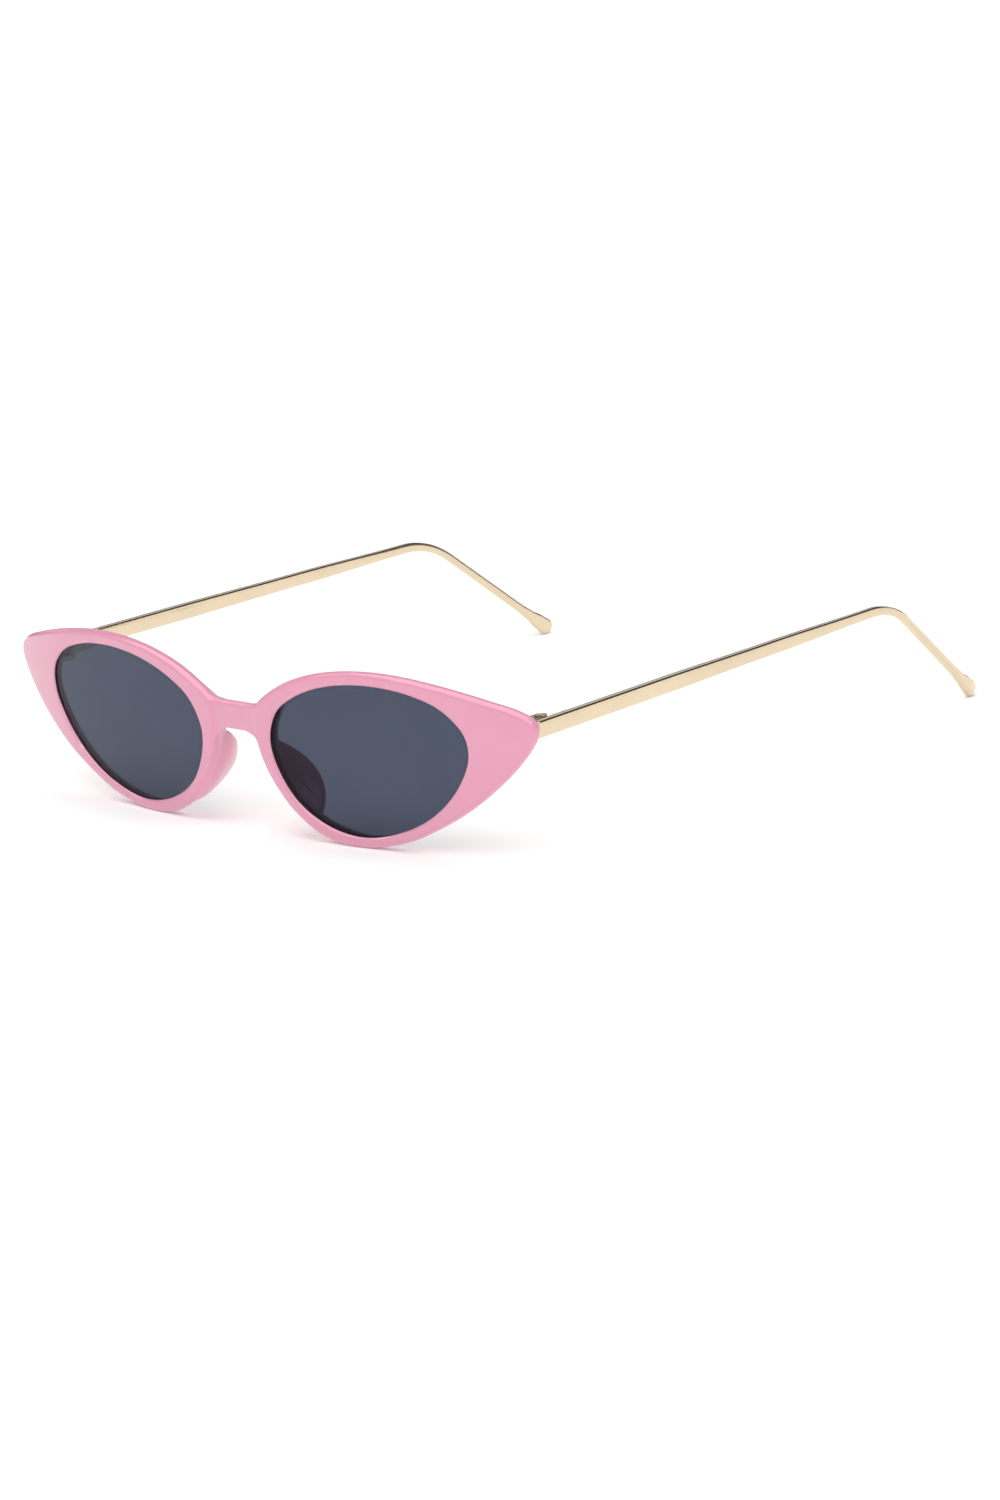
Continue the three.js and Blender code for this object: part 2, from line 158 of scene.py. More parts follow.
# The last share of the strip, in which its sections crowd together towards the round tip.
STRIP_CROWDED = 0.015
CORNER_STEPS, FLANK_STEPS = 6, 9
VOXEL = 0.25
SMOOTHING = 0.5
SMOOTHING_ALL_OVER, SMOOTHING_OF_FILLETS = 5, 20
LEAST_WEIGHT = 0.02
WELD = 0.04

# An edge stays sharp where its faces meet at a larger angle than this.
FRONT_SHARP, LENS_SHARP, TEMPLE_SHARP, HINGE_SHARP = 28, 20, 40, 32

# The eased edges of the hinge pieces and screws, in metres and degrees.
HINGE_EASE, SCREW_EASE = 0.00007, 0.00004
EASED_FROM = 35
FLAT_WITHIN = 1
SAME_PLACE = 1e-6

# The camera: where it stands round the object and what it looks at, in metres.
VIEW_AZIMUTH, VIEW_ELEVATION, VIEW_ROLL = 44.684, 14.24, -4.346
VIEW_DISTANCE = 1.352
VIEW_AIM = Vector((0.00203, -0.0047, 0.00018))
VIEW_LENS = 161.715
VIEW_REACH = 50

# The floor, in metres: its glow rises between these two distances from the middle.
FLOOR_HALF = 8
FLOOR_COLOUR = (0.93, 0.93, 0.93)
FLOOR_ROUGHNESS = 0.9
FLOOR_SPECULAR = 0.1
GLOW_DISTANCES = (0.5, 1.6)
GLOW_STRENGTHS = (0.15, 0.9)

# The surroundings: the colour at each height, from 0 at the horizon to 1 overhead.
DARK, PALE = (0.03, 0.02, 0.01), (0.65, 0.65, 0.68)
SKY = [(0.0, DARK), (0.12, DARK), (0.2, PALE), (0.3, PALE), (0.4, DARK), (1.0, DARK)]

# The softboxes: name, azimuth, elevation, distance, width, height and strength, in degrees, metres and watts.
SOFTBOXES = [
    ("overhead", 20, 78, 1.6, 3, 3, 52),
    ("left_side", -60, 36, 1.6, 0.25, 0.25, 1),
    ("fill", 60, 32, 2.2, 1.6, 1.2, 7),
]

# The colours of the finishes. The third pink lightens the convex edges: a painted highlight, partly wear.
PINK, PALER_PINK, HIGHLIGHT_AND_WEAR_PINK = (0.75, 0.30, 0.435), (0.77, 0.32, 0.455), (0.88, 0.48, 0.60)
TINT, PALER_TINT = (0.060, 0.073, 0.110), (0.066, 0.080, 0.118)
TEMPLE_GOLD, HINGE_GOLD, SCREW_GOLD = (0.755, 0.63, 0.45), (0.90, 0.75, 0.53), (0.88, 0.73, 0.51)
RUBBED_GOLD = (0.97, 0.88, 0.74)
CLOUDED_GOLD = 0.94
# The part of a noise pattern's range that is stretched over the whole of it.
NOISE_RANGE = (0.3, 0.7)


# --- Curves and plain meshes ---

def catmull_rom(points, closed):
    """Points along a centripetal Catmull-Rom curve, evenly placed between its corners."""
    points = np.array(points, float)
    if closed:
        ring = np.vstack([points[-1], points, points[:2]])
    else:
        ring = np.vstack([2 * points[0] - points[1], points, 2 * points[-1] - points[-2]])
    a, b, c, d = ring[:-3], ring[1:-2], ring[2:-1], ring[3:]
    gap = [np.sqrt(np.linalg.norm(q - p, axis=1))[:, None] for p, q in ((a, b), (b, c), (c, d))]
    leave = ((b - a) / gap[0] - (c - a) / (gap[0] + gap[1]) + (c - b) / gap[1]) * gap[1]
    arrive = ((c - b) / gap[1] - (d - b) / (gap[1] + gap[2]) + (d - c) / gap[2]) * gap[1]
    t = np.linspace(0, 1, CURVE_STEPS, endpoint=False)[None, :, None]
    b, c, leave, arrive = (v[:, None] for v in (b, c, leave, arrive))
    curve = b + leave * t + (3 * (c - b) - 2 * leave - arrive) * t**2 + (2 * (b - c) + leave + arrive) * t**3
    curve = curve.reshape(-1, points.shape[1])
    return np.vstack([curve, points[0] if closed else points[-1]])


def spaced(curve, shares):
    """The points at these shares of the curve's length."""
    run = np.concatenate([[0], np.cumsum(np.linalg.norm(np.diff(curve, axis=0), axis=1))])
    return np.stack([np.interp(shares * run[-1], run, axis) for axis in curve.T], 1)


def smooth_outline(corners):
    """Evenly spaced points along the closed curve through these corners."""
    return spaced(catmull_rom(corners, True), np.arange(OUTLINE_STEPS) / OUTLINE_STEPS)


def moved_in(outline, inset):
    """The outline with each point moved inwards, square to the line."""
    along = np.roll(outline, -1, axis=0) - np.roll(outline, 1, axis=0)
    along /= np.linalg.norm(along, axis=1)[:, None]
    x, y = outline.T
    clockwise = np.sum(x * np.roll(y, -1) - y * np.roll(x, -1)) < 0
    inwards = np.stack([-along[:, 1], along[:, 0]], 1) * (-1 if clockwise else 1)
    return outline + inset * inwards


def rounding(start, end, inset, steps):
    """Layers (height, inset) round a quarter ellipse, from the full outline to the inset one."""
    angles = np.linspace(0, math.pi / 2, steps + 1)
    return [(start + (end - start) * math.sin(a), inset * (1 - math.cos(a))) for a in angles]


def loft(rings):
    """Vertices and faces of a closed solid through rings of equal length, each end one face."""
    count = len(rings[0])
    corner = np.arange(count)
    following = (corner + 1) % count
    faces = []
    for level in range(len(rings) - 1):
        low, high = level * count, (level + 1) * count
        faces += np.stack([low + corner, low + following, high + following, high + corner], 1).tolist()
    faces.append(corner[::-1].tolist())
    faces.append((corner + (len(rings) - 1) * count).tolist())
    return np.vstack(rings), faces


def stack(outline, layers):
    """A closed solid through copies of the outline, each at a height and moved in by an inset."""
    rings = []
    for height, inset in layers:
        ring = moved_in(outline, inset)
        rings.append(np.column_stack([ring, np.full(len(ring), height)]))
    return loft(rings)


def together(*solids):
    """Several solids as one list of vertices and one of faces."""
    vertices, faces, first = [], [], 0
    for points, polygons in solids:
        vertices.append(points)
        faces += [[first + i for i in polygon] for polygon in polygons]
        first += len(points)
    return np.vstack(vertices), faces


def mirrored(solid):
    """The solid on the other side of the object, its faces still outwards."""
    points, faces = solid
    return points * (-1, 1, 1), [face[::-1] for face in faces]


def object_of(name, solid):
    """A new object in the scene, its faces turned outwards."""
    points, faces = solid
    mesh = bpy.data.meshes.new(name)
    mesh.from_pydata(points.tolist(), [], faces)
    made = bpy.data.objects.new(name, mesh)
    bpy.context.scene.collection.objects.link(made)
    bm = bmesh.new()
    bm.from_mesh(mesh)
    bmesh.ops.recalc_face_normals(bm, faces=bm.faces)
    bm.to_mesh(mesh)
    bm.free()
    return made


def coordinates(mesh):
    flat = np.empty(len(mesh.vertices) * 3)
    mesh.vertices.foreach_get("co", flat)
    return flat.reshape(-1, 3)


def set_coordinates(mesh, points):
    mesh.vertices.foreach_set("co", np.asarray(points, float).ravel())
    mesh.update()


def apply_modifiers(piece):
    """Replaces the piece's mesh by what its modifiers make of it."""
    graph = bpy.context.evaluated_depsgraph_get()
    finished = bpy.data.meshes.new_from_object(piece.evaluated_get(graph))
    unfinished = piece.data
    piece.modifiers.clear()
    piece.data = finished
    bpy.data.meshes.remove(unfinished)


def shade(piece, sharp_from):
    """Smooth shading, with an edge kept sharp where its faces meet at a larger angle."""
    for polygon in piece.data.polygons:
        polygon.use_smooth = True
    piece.data.set_sharp_from_angle(angle=math.radians(sharp_from))


def fit(piece, node):
    """Places the piece in its CAD node's box, from millimetres to metres."""
    low, high = (np.array(corner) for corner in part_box(node))
    points = coordinates(piece.data)
    least, most = points.min(0), points.max(0)
    set_coordinates(piece.data, low + (points - least) / (most - least) * (high - low))


def finished(piece, node, material, slot):
    """The piece stands for its CAD node: on its body and in its material. The slot is not used."""
    piece.data.materials.clear()
    piece.data.materials.append(material)
    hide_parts(node)
    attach(piece, NODES[node]["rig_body"])


# --- The front ---

def smoothstep(values, low, high):
    share = np.clip((values - low) / (high - low), 0, 1)
    return share * share * (3 - 2 * share)


def nose_depth(x, y, z):
    """How far back the points move because the front is deeper round the bridge."""
    groove_back = LENS_MIDDLE - LENS_LAND / 2 - LENS_FLANK - LENS_FREE
    beside = 1 - smoothstep(np.abs(x), *NOSE_REACH)
    behind = np.clip((groove_back - z) / (groove_back - RIM_BACK), 0, 1)
    return NOSE_DEPTH * beside * smoothstep(y, *NOSE_HEIGHT) * behind


def bent(points):
    """The flat drawing bent to the front's curve and leant forward."""
    x, y, z = points.T
    z = z - nose_depth(x, y, z)
    wrap = np.maximum(0, np.abs(x) - WRAP_START) / WRAP_LENGTH
    back = x**2 / (2 * FRONT_RADIUS) + WRAP_BACK * wrap**2
    lean = math.radians(FRONT_LEAN)
    return np.stack([
        x,
        back - y * math.sin(lean) - z * math.cos(lean),
        y * math.cos(lean) - z * math.sin(lean),
    ], 1)


def rounded_plate(outline, face):
    """A plate from the back of the rims to this face, both its edges rounded."""
    back = rounding(RIM_BACK + BACK_ROUNDING["depth"], RIM_BACK, BACK_ROUNDING["inset"], ROUNDING_STEPS)
    front = rounding(face - FACE_ROUNDING["depth"], face, FACE_ROUNDING["inset"], ROUNDING_STEPS)
    return stack(outline, back[::-1] + front)


def nose_pad():
    """A fin whose ends taper to points, along the nose side of the rim."""
    turn = np.linspace(0, 2 * math.pi, PAD_AROUND, endpoint=False)
    poles = np.linspace(PAD_POLE, math.pi - PAD_POLE, PAD_ALONG)
    line = catmull_rom(PAD_LINE, False)
    reach = (PAD_BACK - PAD_FRONT) / 2
    rings = []
    for pole in poles:
        share = (1 - math.cos(pole)) / 2
        before, after = max(0, share - PAD_TANGENT_REACH), min(1, share + PAD_TANGENT_REACH)
        near = spaced(line, np.array([before, share, after]))
        tangent = (near[2] - near[0]) / np.linalg.norm(near[2] - near[0])
        across, out = np.sin(pole) * np.cos(turn), np.sin(pole) * np.sin(turn)
        depth = PAD_FRONT + reach * (np.sin(pole) + across) * np.sin(pole) ** (PAD_TAPER - 1)
        shift = PAD_HALF_THICKNESS * np.sign(out) * np.abs(out) ** PAD_SQUARENESS
        shift = shift + PAD_LEAN * np.maximum(0, depth + RIM_BACK)
        x, y = near[1][0] - tangent[1] * shift, near[1][1] + tangent[0] * shift
        rings.append(np.stack([x, y, -depth], 1))
    return loft(rings)


def opening_cutter():
    """What the lens opening, its front chamfer and the lens groove take out of a rim."""
    land, flank = LENS_LAND / 2, LENS_FLANK + LENS_FREE
    ease_height, ease_inset = CHAMFER_EASE
    return stack(smooth_outline(OPENING_OUTLINE), [
        (RIM_BACK - CUTTER_BEYOND, 0),
        (LENS_MIDDLE - land - flank, 0),
        (LENS_MIDDLE - land, -LENS_BITE),
        (LENS_MIDDLE + land, -LENS_BITE),
        (LENS_MIDDLE + land + flank, 0),
        (0, 0),
        (RIM_FACE * ease_height, -RIM_FACE * ease_inset),
        (RIM_FACE, -RIM_FACE),
        (RIM_FACE + CUTTER_BEYOND, -RIM_FACE),
    ])


def smoothing_weight(points):
    """How much the moulding's fillets round each point: most where the bridge and the pads leave the rims."""
    x, y, z = np.abs(points[:, 0]), points[:, 1], points[:, 2]
    middle_x, middle_y = BRIDGE_FILLET_MIDDLE
    spread_x, spread_y = BRIDGE_FILLET_SPREAD
    bridge_ends = np.exp(-(((x - middle_x) / spread_x) ** 2) - ((y - middle_y) / spread_y) ** 2)
    beside = (y < PAD_FILLET_REACH) * (x < PAD_FILLET_REACH)
    pad_roots = np.exp(-(((z - RIM_BACK) / PAD_FILLET_DEPTH) ** 2)) * beside
    return np.clip(np.maximum(bridge_ends, PAD_FILLET_WEIGHT * pad_roots), 0, 1)


def smooth(piece, iterations, weights=None):
    """Rounds the piece off, all over or as much as each point's weight says."""
    modifier = piece.modifiers.new("smooth", "SMOOTH")
    modifier.factor = SMOOTHING
    modifier.iterations = iterations
    if weights is not None:
        group = piece.vertex_groups.new(name="fillets")
        for index, weight in enumerate(weights):
            if weight > LEAST_WEIGHT:
                group.add([index], float(weight), "REPLACE")
        modifier.vertex_group = group.name
    apply_modifiers(piece)
    piece.vertex_groups.clear()


def cut(piece, tool):
    """Takes the tool's shape out of the piece and removes the tool."""
    modifier = piece.modifiers.new("cut", "BOOLEAN")
    modifier.operation = "DIFFERENCE"
    modifier.solver = "MANIFOLD"
    modifier.object = tool
    apply_modifiers(piece)
    bpy.data.objects.remove(tool)


def weld(piece, distance):
    """Clears up after a cut: joins corners closer than this and splits faces of many sides evenly."""
    mesh = bmesh.new()
    mesh.from_mesh(piece.data)
    bmesh.ops.remove_doubles(mesh, verts=mesh.verts, dist=distance)
    many_sided = [face for face in mesh.faces if len(face.verts) > 4]
    bmesh.ops.triangulate(mesh, faces=many_sided, ngon_method="BEAUTY")
    mesh.to_mesh(piece.data)
    mesh.free()


def front_frame(material):
    """Both rims, both pads and the bridge made one, rounded off, bent, and cut open for the lenses."""
    rim = rounded_plate(smooth_outline(RIM_OUTLINE), RIM_FACE)
    pad = nose_pad()
    other_half = [(-x, y) for x, y in BRIDGE_HALF[-2:0:-1]]
    bridge = rounded_plate(smooth_outline(BRIDGE_HALF + other_half), BRIDGE_FACE)
    piece = object_of("moulded_front", together(rim, mirrored(rim), pad, mirrored(pad), bridge))
    remesh = piece.modifiers.new("union", "REMESH")
    remesh.mode = "VOXEL"
    remesh.voxel_size = VOXEL
    apply_modifiers(piece)
    smooth(piece, SMOOTHING_ALL_OVER)
    smooth(piece, SMOOTHING_OF_FILLETS, smoothing_weight(coordinates(piece.data)))
    set_coordinates(piece.data, bent(coordinates(piece.data)))
    for points, faces in (opening_cutter(), mirrored(opening_cutter())):
        cut(piece, object_of("opening", (bent(points), faces)))
    weld(piece, WELD)
    fit(piece, "front_frame")
    shade(piece, FRONT_SHARP)
    finished(piece, "front_frame", material, "pink_plastic")


# --- The lenses ---

def lens_solid():
    """A bevelled sheet: rings from the middle of its front, round the V edge, to the middle of its back."""
    outline = smooth_outline(OPENING_OUTLINE)
    land, face = LENS_LAND / 2, LENS_LAND / 2 + LENS_FLANK
    edge = [
        (-face, LENS_FREE + LENS_ARRIS), (-face + LENS_ARRIS, LENS_FREE),
        (-land, LENS_FREE - LENS_BITE), (land, LENS_FREE - LENS_BITE),
        (face - LENS_ARRIS, LENS_FREE), (face, LENS_FREE + LENS_ARRIS),
    ]
    sheet = moved_in(outline, LENS_FREE + LENS_ARRIS)
    centre = sheet.mean(0)
    grown = [centre + (sheet - centre) * s for s in np.linspace(LENS_CORE, 1, LENS_RINGS, endpoint=False)]
    levels = [(-face, ring) for ring in grown]
    levels += [(height, moved_in(outline, inset)) for height, inset in edge]
    levels += [(face, ring) for ring in grown[::-1]]
    points, faces = loft([np.column_stack([ring, np.full(len(ring), height)]) for height, ring in levels])
    points[:, 2] += LENS_MIDDLE
    return bent(points), faces


def lenses(material):
    solid = lens_solid()
    for side, direction in SIDES.items():
        node = "lens_" + side
        piece = object_of("tinted_" + node, solid if direction > 0 else mirrored(solid))
        fit(piece, node)
        shade(piece, LENS_SHARP)
        finished(piece, node, material, "tinted_lens")


# --- The temples ---

def temple_path(count):
    """Points and tangents along both straights and the bend, their distances and the whole length."""
    into = (TEMPLE_BEND - TEMPLE_START).normalized() * BEND_TANGENT
    out = (TEMPLE_TIP - TEMPLE_BEND).normalized() * BEND_TANGENT
    start, corner, tip = (np.array(p) for p in (TEMPLE_START, TEMPLE_BEND, TEMPLE_TIP))
    bend_start, bend_end = corner - np.array(into), corner + np.array(out)
    t = np.linspace(0, 1, BEND_STEPS)[:, None]
    bend = bend_start * (1 - t) ** 2 + 2 * corner * t * (1 - t) + bend_end * t**2
    line = np.vstack([
        start + (bend_start - start) * np.linspace(0, 1, STRAIGHT_STEPS, endpoint=False)[:, None],
        bend[:-1],
        bend_end + (tip - bend_end) * np.linspace(0, 1, STRAIGHT_STEPS)[:, None],
    ])
    total = np.linalg.norm(np.diff(line, axis=0), axis=1).sum()
    spread = np.linspace(0, 1, count)
    even = 1 - STRIP_CROWDED
    crowded = even + STRIP_CROWDED * np.sin(spread * math.pi / 2)
    distances = np.concatenate([total * even * spread[:-1], total * crowded])
    points = spaced(line, distances / total)
    ahead = spaced(line, np.minimum(1, distances / total + STRIP_TANGENT_REACH))
    behind = spaced(line, np.maximum(0, distances / total - STRIP_TANGENT_REACH))
    tangents = ahead - behind
    return points, tangents / np.linalg.norm(tangents, axis=1)[:, None], distances, total


def strip_sizes(distances, total):
    """Height and thickness along the strip, with a smooth change from each listed size to the next."""
    stations = np.array(STRIP_FROM_FRONT + [(total - back, h, t) for back, h, t in STRIP_FROM_TIP])
    nearest = np.clip(np.searchsorted(stations[:, 0], distances), 1, len(stations) - 1)
    low, high = stations[nearest - 1], stations[nearest]
    share = smoothstep(distances, low[:, 0], high[:, 0])[:, None]
    return (low[:, 1:] * (1 - share) + high[:, 1:] * share).T


def rounded_section(half_thickness, half_height, radius, bulge):
    """A rectangle with bulging flanks and round corners, counter-clockwise, as across and upright offsets."""
    flat = half_height - radius
    lean = math.atan2(2 * bulge, flat)
    points = []
    for across, upright in ((1, 1), (-1, 1), (-1, -1), (1, -1)):
        turns = np.linspace(lean, math.pi / 2, CORNER_STEPS)[::across * upright]
        points += [(
            across * (half_thickness - bulge - radius * math.cos(lean) + radius * math.cos(turn)),
            upright * (flat + radius * math.sin(turn)),
        ) for turn in turns]
        if upright == across:
            continue
        heights = flat * np.linspace(-1, 1, FLANK_STEPS)[1:-1] * across * -1
        points += [(across * (half_thickness - bulge * (h / flat) ** 2), h) for h in heights]
    return np.array(points)


def temple_solid():
    """The strip's sections, placed along its path."""
    points, tangents, distances, total = temple_path(STRIP_STEPS)
    heights, thicknesses = strip_sizes(distances, total)
    beyond = np.clip((distances - (total - TIP_ROUND)) / TIP_ROUND, 0, 1)
    closing = np.sqrt(1 - beyond**2)
    arris = 1 - START_EASE * np.clip(1 - distances / START_EASE_LENGTH, 0, 1) ** 2
    straight, leg = STRIP_ROUNDINGS
    roundings = straight + (leg - straight) * smoothstep(distances, *STRIP_ROUNDS)
    stations = zip(points, tangents, heights, thicknesses, closing, arris, roundings)
    rings = []
    for at, tangent, height, thickness, close, end, rounded in stations:
        side = np.cross((0, 0, 1), tangent)
        side /= np.linalg.norm(side)
        rise = np.cross(tangent, side)
        half_height = height * (TIP_END_HEIGHT + (1 - TIP_END_HEIGHT) * close) * end / 2
        half_thickness = thickness * (TIP_END_THICKNESS + (1 - TIP_END_THICKNESS) * close) * end / 2
        radius = min(rounded, MOST_ROUNDING * half_height, MOST_ROUNDING * half_thickness)
        bulge = min(STRIP_BULGE, MOST_BULGE * half_thickness)
        section = rounded_section(half_thickness, half_height, radius, bulge)
        rings.append(at + section[:, :1] * side + section[:, 1:] * rise)
    return loft(rings)


def temples(material):
    solid = temple_solid()
    for side, direction in SIDES.items():
        node = "temple_" + side
        piece = object_of("gold_" + node, solid if direction > 0 else mirrored(solid))
        fit(piece, node)
        shade(piece, TEMPLE_SHARP)
        finished(piece, node, material, "gold_temple")


# --- The hinges and their screws ---

def eased_copy(node, name, width):
    """The CAD node with its hard edges eased by a small bevel."""
    piece = bpy.data.objects.new(name, NODES[node].data.copy())
    bpy.context.scene.collection.objects.link(piece)
    bm = bmesh.new()
    bm.from_mesh(piece.data)
    bmesh.ops.remove_doubles(bm, verts=bm.verts, dist=SAME_PLACE)
    flat = math.radians(FLAT_WITHIN)
    bmesh.ops.dissolve_limit(bm, angle_limit=flat, verts=bm.verts, edges=bm.edges)
    bm.to_mesh(piece.data)
    bm.free()
    bevel = piece.modifiers.new("ease", "BEVEL")
    bevel.width = width
    bevel.segments = 2
    bevel.limit_method = "ANGLE"
    bevel.angle_limit = math.radians(EASED_FROM)
    bevel.use_clamp_overlap = True
    apply_modifiers(piece)
    shade(piece, HINGE_SHARP)
    return piece


def hinges(plated, turned):
    for side in SIDES:
        for kind in ("front_hinge_", "temple_hinge_"):
            piece = eased_copy(kind + side, "eased_" + kind + side, HINGE_EASE)
            finished(piece, kind + side, plated, "gold_hinge")
        node = "hinge_screw_" + side
        finished(eased_copy(node, "eased_" + node, SCREW_EASE), node, turned, "gold_screw")


# --- Materials ---

class Finish:
    """A material whose shader is fed by a few procedural patterns in the piece's own coordinates."""

    def __init__(self, name):
        self.material = bpy.data.materials.new(name)
        self.material.use_nodes = True
        self.nodes = self.material.node_tree.nodes
        self.links = self.material.node_tree.links
        self.shader = self.nodes["Principled BSDF"]
        self.place = self.nodes.new("ShaderNodeTexCoord").outputs["Object"]

    def constant(self, **values):
        for name, value in values.items():
            self.shader.inputs[name.replace("_", " ")].default_value = value

    def noise(self, scale, detail=4, stretch=(1, 1, 1), roughness=0.5):
        mapping = self.nodes.new("ShaderNodeMapping")
        mapping.inputs["Scale"].default_value = stretch
        self.links.new(self.place, mapping.inputs["Vector"])
        noise = self.nodes.new("ShaderNodeTexNoise")
        noise.inputs["Scale"].default_value = scale
        noise.inputs["Detail"].default_value = detail
        noise.inputs["Roughness"].default_value = roughness
        self.links.new(mapping.outputs["Vector"], noise.inputs["Vector"])
        return noise.outputs["Fac"]

    def edges(self, low, high):
        """1 on the convex edges, 0 elsewhere: it marks wear, and on the pink plastic a painted highlight too.
        """
        pointed = self.nodes.new("ShaderNodeNewGeometry").outputs["Pointiness"]
        return self.mapped(pointed, low, high, 0, 1)

    def mapped(self, value, from_low, from_high, to_low, to_high):
        ranged = self.nodes.new("ShaderNodeMapRange")
        for name, number in zip(("From Min", "From Max", "To Min", "To Max"),
                                (from_low, from_high, to_low, to_high)):
            ranged.inputs[name].default_value = number
        self.links.new(value, ranged.inputs["Value"])
        return ranged.outputs["Result"]

    def blend(self, share, first, second):
        """The colour first where share is 0 and second where it is 1; each is a colour or a socket."""
        mix = self.nodes.new("ShaderNodeMix")
        mix.data_type = "RGBA"
        self.links.new(share, mix.inputs["Factor"])
        for socket, colour in ((mix.inputs[6], first), (mix.inputs[7], second)):
            if isinstance(colour, tuple):
                socket.default_value = (*colour, 1)
            else:
                self.links.new(colour, socket)
        return mix.outputs[2]

    def drive(self, name, value):
        self.links.new(value, self.shader.inputs[name])

    def bump(self, *layers):
        """Bumps laid over one another, each a pattern, its height in metres and its strength."""
        normal = None
        for pattern, height, strength in layers:
            bump = self.nodes.new("ShaderNodeBump")
            bump.inputs["Distance"].default_value = height
            bump.inputs["Strength"].default_value = strength
            self.links.new(pattern, bump.inputs["Height"])
            if normal is not None:
                self.links.new(normal, bump.inputs["Normal"])
            normal = bump.outputs["Normal"]
        self.drive("Normal", normal)


def pink_plastic():
    """Opaque moulded plastic, tumbled to a soft gloss: faint clouding, an uneven sheen, and convex edges
    lightened by a painted highlight and some wear.
    """
    finish = Finish("pink_plastic")
    finish.constant(IOR=1.5, Coat_Weight=0.8, Coat_Roughness=0.12)
    clouds = finish.mapped(finish.noise(60, 3), *NOISE_RANGE, 0, 1)
    body = finish.blend(clouds, PINK, PALER_PINK)
    # The convex edges are lightened: a painted highlight, with some wear.
    lightened_edges = finish.mapped(finish.edges(0.52, 0.60), 0, 1, 0, 0.5)
    finish.drive("Base Color", finish.blend(lightened_edges, body, HIGHLIGHT_AND_WEAR_PINK))
    finish.drive("Roughness", finish.mapped(clouds, 0, 1, 0.29, 0.31))
    return finish.material


def tinted_lens():
    """Blue-grey polycarbonate, polished both sides, with the faintest smears."""
    finish = Finish("tinted_lens")
    finish.constant(IOR=1.2, Roughness=0.0, Transmission_Weight=1.0)
    smears = finish.noise(90, 3, stretch=(1, 1, 0.4))
    finish.drive("Base Color", finish.blend(smears, TINT, PALER_TINT))
    return finish.material


def gold(name, colour, shine, stretch, wear):
    """Pale gold plating: fine polishing lines along the stretch, clouded sheen and brighter edges."""
    finish = Finish(name)
    finish.constant(Metallic=1.0, IOR=1.5)
    clouds = finish.mapped(finish.noise(110, 3), *NOISE_RANGE, 0, 1)
    deeper = tuple(channel * CLOUDED_GOLD for channel in colour)
    body = finish.blend(clouds, deeper, colour)
    lightened_edges = finish.mapped(finish.edges(0.53, 0.62), 0, 1, 0, wear)
    finish.drive("Base Color", finish.blend(lightened_edges, body, RUBBED_GOLD))
    lines = finish.noise(2400, 3, stretch=stretch)
    finish.drive("Roughness", finish.mapped(lines, *NOISE_RANGE, shine, shine + 0.06))
    finish.bump((lines, 0.000004, 0.06), (finish.noise(260, 2), 0.00002, 0.04))
    return finish.material


# --- The studio ---

def outward(azimuth, elevation):
    """The way from the middle towards something that stands at these angles, in degrees."""
    a, e = math.radians(azimuth), math.radians(elevation)
    return Vector((math.sin(a) * math.cos(e), -math.cos(a) * math.cos(e), math.sin(e)))


def camera():
    back = outward(VIEW_AZIMUTH, VIEW_ELEVATION)
    data = bpy.data.cameras.new("camera")
    data.lens = VIEW_LENS
    data.clip_end = VIEW_REACH
    eye = bpy.data.objects.new("camera", data)
    eye.location = VIEW_AIM + back * VIEW_DISTANCE
    eye.rotation_mode = "QUATERNION"
    eye.rotation_quaternion = back.to_track_quat("Z", "Y") @ Quaternion((0, 0, 1), math.radians(VIEW_ROLL))
    bpy.context.scene.collection.objects.link(eye)
    bpy.context.scene.camera = eye


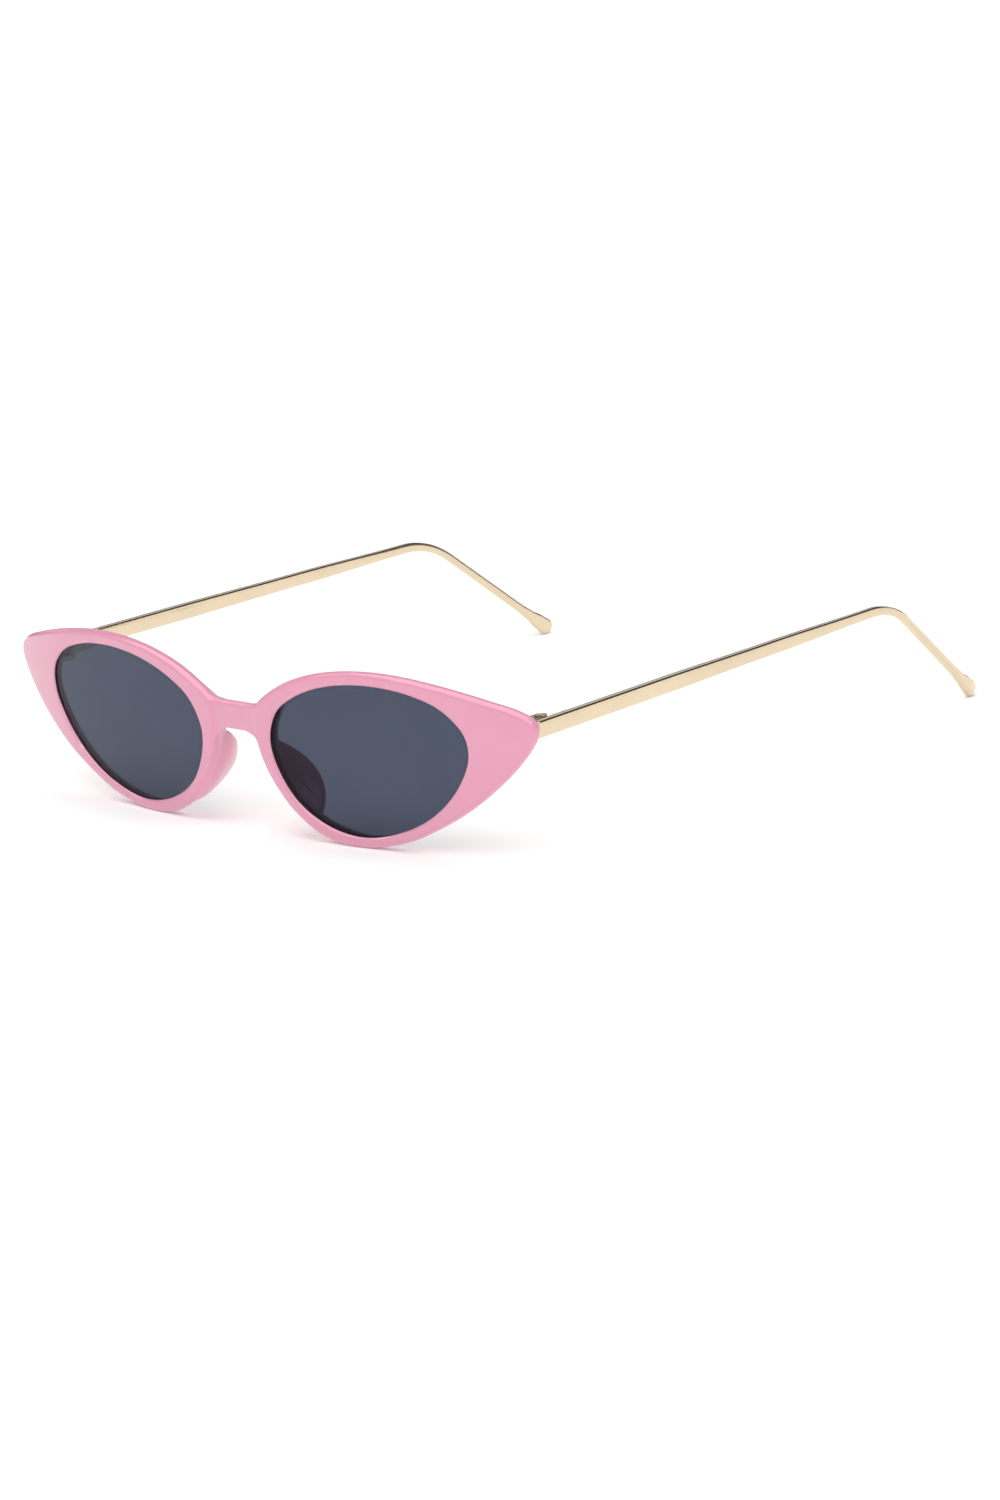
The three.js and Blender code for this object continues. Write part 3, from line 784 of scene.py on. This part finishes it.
def floor():
    """A white table that glows softly, and far away enough to stay white where the lights don't reach."""
    half = FLOOR_HALF
    corners = np.array([(-half, -half, 0), (half, -half, 0), (half, half, 0), (-half, half, 0)], float)
    made = object_of("floor", (corners, [[0, 1, 2, 3]]))
    material = bpy.data.materials.new("studio_floor")
    material.use_nodes = True
    shader = material.node_tree.nodes["Principled BSDF"]
    shader.inputs["Base Color"].default_value = (*FLOOR_COLOUR, 1)
    shader.inputs["Roughness"].default_value = FLOOR_ROUGHNESS
    shader.inputs["Specular IOR Level"].default_value = FLOOR_SPECULAR
    shader.inputs["Emission Color"].default_value = (1, 1, 1, 1)
    nodes, links = material.node_tree.nodes, material.node_tree.links
    place = nodes.new("ShaderNodeTexCoord")
    away = nodes.new("ShaderNodeVectorMath")
    away.operation = "LENGTH"
    glow = nodes.new("ShaderNodeMapRange")
    for name, value in zip(("From Min", "From Max", "To Min", "To Max"), GLOW_DISTANCES + GLOW_STRENGTHS):
        glow.inputs[name].default_value = value
    links.new(place.outputs["Object"], away.inputs[0])
    links.new(away.outputs["Value"], glow.inputs["Value"])
    links.new(glow.outputs["Result"], shader.inputs["Emission Strength"])
    made.data.materials.append(material)


def softbox(name, azimuth, elevation, distance, width, height, strength):
    """A soft rectangular light that looks at the object from this direction."""
    back = outward(azimuth, elevation)
    data = bpy.data.lights.new(name, "AREA")
    data.shape = "RECTANGLE"
    data.size, data.size_y = width, height
    data.energy = strength
    light = bpy.data.objects.new(name, data)
    light.location = back * distance
    light.rotation_mode = "QUATERNION"
    light.rotation_quaternion = back.to_track_quat("Z", "Y")
    bpy.context.scene.collection.objects.link(light)


def surroundings():
    """A studio that is dark at the horizon and overhead, with a pale band a little above the horizon."""
    world = bpy.data.worlds.new("studio")
    bpy.context.scene.world = world
    world.use_nodes = True
    nodes, links = world.node_tree.nodes, world.node_tree.links
    place = nodes.new("ShaderNodeTexCoord")
    split = nodes.new("ShaderNodeSeparateXYZ")
    ramp = nodes.new("ShaderNodeValToRGB")
    links.new(place.outputs["Generated"], split.inputs["Vector"])
    links.new(split.outputs["Z"], ramp.inputs["Fac"])
    while len(ramp.color_ramp.elements) < len(SKY):
        ramp.color_ramp.elements.new(0.5)
    for element, (height, colour) in zip(ramp.color_ramp.elements, SKY):
        element.position = height
        element.color = (*colour, 1)
    background = nodes["Background"]
    links.new(ramp.outputs["Color"], background.inputs["Color"])
    background.inputs["Strength"].default_value = 1.0


def studio():
    camera()
    floor()
    surroundings()
    for box in SOFTBOXES:
        softbox(*box)
    bpy.context.scene.view_settings.view_transform = "Standard"


studio()
front_frame(pink_plastic())
lenses(tinted_lens())
temples(gold("gold_temple", TEMPLE_GOLD, 0.08, (8, 0.4, 8), 0.3))
hinges(
    gold("gold_hinge", HINGE_GOLD, 0.2, (1, 1, 6), 0.5),
    gold("gold_screw", SCREW_GOLD, 0.24, (6, 6, 1), 0.4),
)
